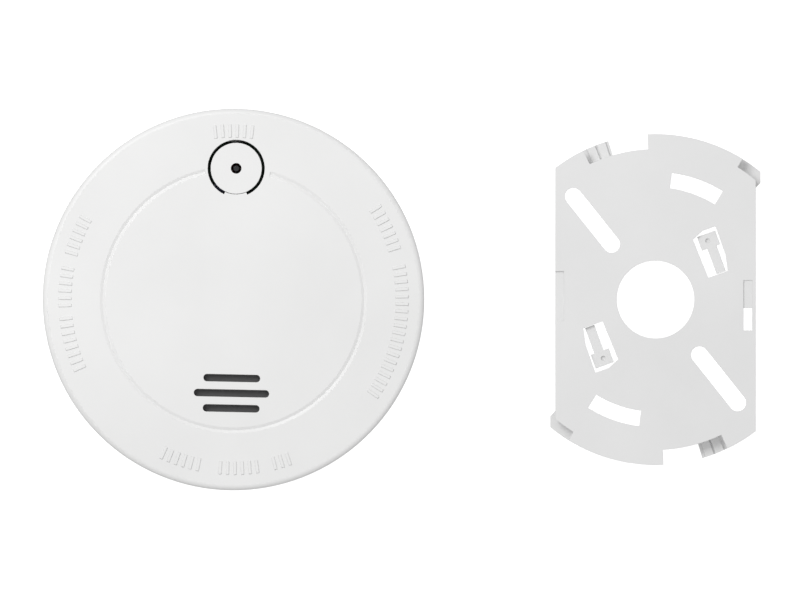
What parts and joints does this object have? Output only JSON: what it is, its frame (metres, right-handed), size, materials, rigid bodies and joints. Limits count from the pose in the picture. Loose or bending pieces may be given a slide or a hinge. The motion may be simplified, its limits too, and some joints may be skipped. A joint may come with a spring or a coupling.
{
  "type": "smoke detector",
  "caption": "Round battery smoke detector head lying face up beside its oval twist-lock ceiling bracket, with test button, sounder, chamber and block battery.",
  "frame": {"origin": "centre of the bracket's ceiling face, on the axis of its cable hole", "axes": "+Z towards the ceiling, out of the bracket's ceiling face (the head lies face up beside it, so its front also faces +Z at rest); +X from the head to the bracket, along the row's longest side; +Y towards the test button"},
  "size_m": [0.1904, 0.101, 0.0342],
  "materials": {
    "head_plastic": "fine satin mould texture",
    "bracket_plastic": "smooth satin",
    "black_plastic": "matt black, light absorbing",
    "plunger_plastic": "smooth",
    "flag_plastic": "red, smooth",
    "clear_plastic": "clear, polished",
    "led_lens": "tinted lens",
    "board": "green solder mask over glass fibre",
    "component_black": "moulded epoxy",
    "capacitor_sleeve": "shrunk sleeve",
    "coil_ferrite": "ferrite",
    "screen_steel": "fine mesh",
    "ir_lens": "tinted epoxy",
    "diode_lens": "dark tinted epoxy",
    "brass_disc": "rolled, with a ceramic coat in the middle",
    "spring_steel": "drawn, bright",
    "contact_brass": "stamped",
    "battery_jacket": "printed foil with plain bands, no lettering",
    "screw_steel": "zinc plated",
    "label_paper": "blank label",
    "sounder_plastic": "dark grey, fine texture"
  },
  "bodies": {
    "bracket": {"bracket_plate": "bracket_plastic"},
    "latch_tongue_a": {"latch_tongue_a": "bracket_plastic"},
    "latch_tongue_b": {"latch_tongue_b": "bracket_plastic"},
    "head_carrier": {"rating_label": "label_paper"},
    "head": {"front_cover": "head_plastic", "base": "head_plastic", "light_pipe": "clear_plastic", "status_led": "led_lens", "test_switch": "component_black", "circuit_board": "board", "microcontroller": "component_black", "capacitors": "capacitor_sleeve", "boost_coil": "coil_ferrite", "resistors": "component_black", "chamber_base": "black_plastic", "chamber_cap": "black_plastic", "insect_screen": "screen_steel", "ir_emitter": "ir_lens", "photodiode": "diode_lens", "sounder_housing": "sounder_plastic", "piezo_disc": "brass_disc", "sounder_springs": "spring_steel", "battery_contacts": "contact_brass", "cover_screws": "screw_steel"},
    "test_button": {"test_button": "head_plastic"},
    "switch_plunger": {"switch_plunger": "plunger_plastic"},
    "battery": {"battery": "battery_jacket"},
    "battery_flag": {"battery_flag": "flag_plastic"}
  },
  "joints": [
    {"name": "head_swing", "type": "hinge", "parent": "bracket", "child": "head_carrier", "pos_m": [-0.05597, 0, -0.0038], "axis": [0, 1, 0], "range_deg": [-180, 0]},
    {"name": "head_twist", "type": "hinge", "parent": "head_carrier", "child": "head", "pos_m": [-0.11195, 0, 0], "axis": [0, 0, 1], "range_deg": [-11, 0]},
    {"name": "latch_tongue_a_bend", "type": "hinge", "parent": "bracket", "child": "latch_tongue_a", "pos_m": [0.01645, 0.00676, -0.0019], "axis": [0.9397, 0.342, 0], "range_deg": [0, 4.5], "stiffness_Nm_per_rad": 0.05},
    {"name": "latch_tongue_b_bend", "type": "hinge", "parent": "bracket", "child": "latch_tongue_b", "pos_m": [-0.01645, -0.00676, -0.0019], "axis": [-0.9397, -0.342, 0], "range_deg": [0, 4.5], "stiffness_Nm_per_rad": 0.05},
    {"name": "test_button_press", "type": "hinge", "parent": "head", "child": "test_button", "pos_m": [-0.11137, 0.02794, 0.026], "axis": [-0.9998, 0.0209, 0], "range_deg": [0, 2.5], "stiffness_Nm_per_rad": 0.1},
    {"name": "switch_travel", "type": "slide", "parent": "head", "child": "switch_plunger", "axis": [0, 0, -1], "range_m": [0, 0.0005]},
    {"name": "battery_out", "type": "slide", "parent": "head", "child": "battery", "axis": [0, 0, -1], "range_m": [0, 0.04]},
    {"name": "battery_flag_drop", "type": "hinge", "parent": "head", "child": "battery_flag", "pos_m": [-0.14524, 0.00626, 0.0196], "axis": [0.829, 0.5592, 0], "range_deg": [0, 80]}
  ],
  "couplings": [
    {"joint": "switch_travel", "follows": "test_button_press", "m_per_rad": 0.01135},
    {"joint": "battery_flag_drop", "follows": "battery_out", "rad_per_m": 34.9}
  ]
}
